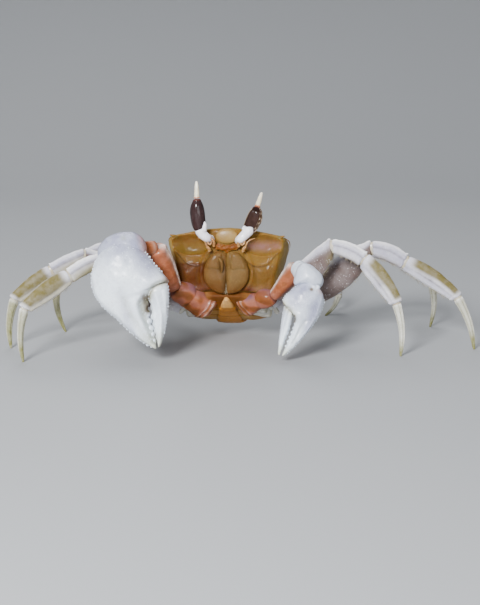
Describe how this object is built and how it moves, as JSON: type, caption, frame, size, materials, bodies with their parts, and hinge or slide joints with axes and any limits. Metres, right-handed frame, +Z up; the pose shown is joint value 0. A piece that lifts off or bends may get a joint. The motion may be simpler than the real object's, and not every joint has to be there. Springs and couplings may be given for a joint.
{
  "type": "ghost crab",
  "caption": "Still life-size ghost crab standing nose up on its walking legs, with horned upright eyes and unequal hanging claws.",
  "frame": {"origin": "middle of the floor area under the whole crab, on the floor that the leg tips stand on", "axes": "+Z up, the crab faces -Y, its left side is +X"},
  "size_m": [0.1574, 0.0854, 0.0561],
  "materials": {
    "shield": "satin tan shell with olive cast",
    "underside": "satin amber shell",
    "tail_plates": "satin amber plates",
    "mouth_flap": "satin tan flaps",
    "feeler": "tan, finely jointed",
    "leg_shell": "lavender white shell with olive patches",
    "leg_tip": "cream yellow claw tips",
    "claw_shell": "fine grained white shell",
    "claw_arm": "orange shell with white grains",
    "eyestalk": "ivory white",
    "cornea": "dark glossy brown",
    "eye_horn": "ivory horn"
  },
  "bodies": {
    "root": {"carapace": "shield", "thorax": "underside", "abdomen": "tail_plates", "maxilliped_left": "mouth_flap", "maxilliped_right": "mouth_flap", "antennae_left": "feeler", "antennae_right": "feeler", "leg_left_2_merus": "leg_shell", "leg_left_2_carpus": "leg_shell", "leg_left_2_propodus": "leg_shell", "leg_left_2_dactyl": "leg_tip", "leg_left_3_merus": "leg_shell", "leg_left_3_carpus": "leg_shell", "leg_left_3_propodus": "leg_shell", "leg_left_3_dactyl": "leg_tip", "leg_left_4_merus": "leg_shell", "leg_left_4_carpus": "leg_shell", "leg_left_4_propodus": "leg_shell", "leg_left_4_dactyl": "leg_tip", "leg_left_5_merus": "leg_shell", "leg_left_5_carpus": "leg_shell", "leg_left_5_propodus": "leg_shell", "leg_left_5_dactyl": "leg_tip", "leg_right_2_merus": "leg_shell", "leg_right_2_carpus": "leg_shell", "leg_right_2_propodus": "leg_shell", "leg_right_2_dactyl": "leg_tip", "leg_right_3_merus": "leg_shell", "leg_right_3_carpus": "leg_shell", "leg_right_3_propodus": "leg_shell", "leg_right_3_dactyl": "leg_tip", "leg_right_4_merus": "leg_shell", "leg_right_4_carpus": "leg_shell", "leg_right_4_propodus": "leg_shell", "leg_right_4_dactyl": "leg_tip", "leg_right_5_merus": "leg_shell", "leg_right_5_carpus": "leg_shell", "leg_right_5_propodus": "leg_shell", "leg_right_5_dactyl": "leg_tip", "claw_major_palm": "claw_shell", "claw_major_finger": "claw_shell", "claw_major_arm": "claw_arm", "claw_major_base": "claw_arm", "claw_major_wrist": "claw_shell", "claw_minor_palm": "claw_shell", "claw_minor_finger": "claw_shell", "claw_minor_arm": "claw_arm", "claw_minor_base": "claw_arm", "claw_minor_wrist": "claw_shell", "eyestalk_left": "eyestalk", "cornea_left": "cornea", "eye_horn_left": "eye_horn", "eyestalk_right": "eyestalk", "cornea_right": "cornea", "eye_horn_right": "eye_horn"}
  },
  "joints": []
}
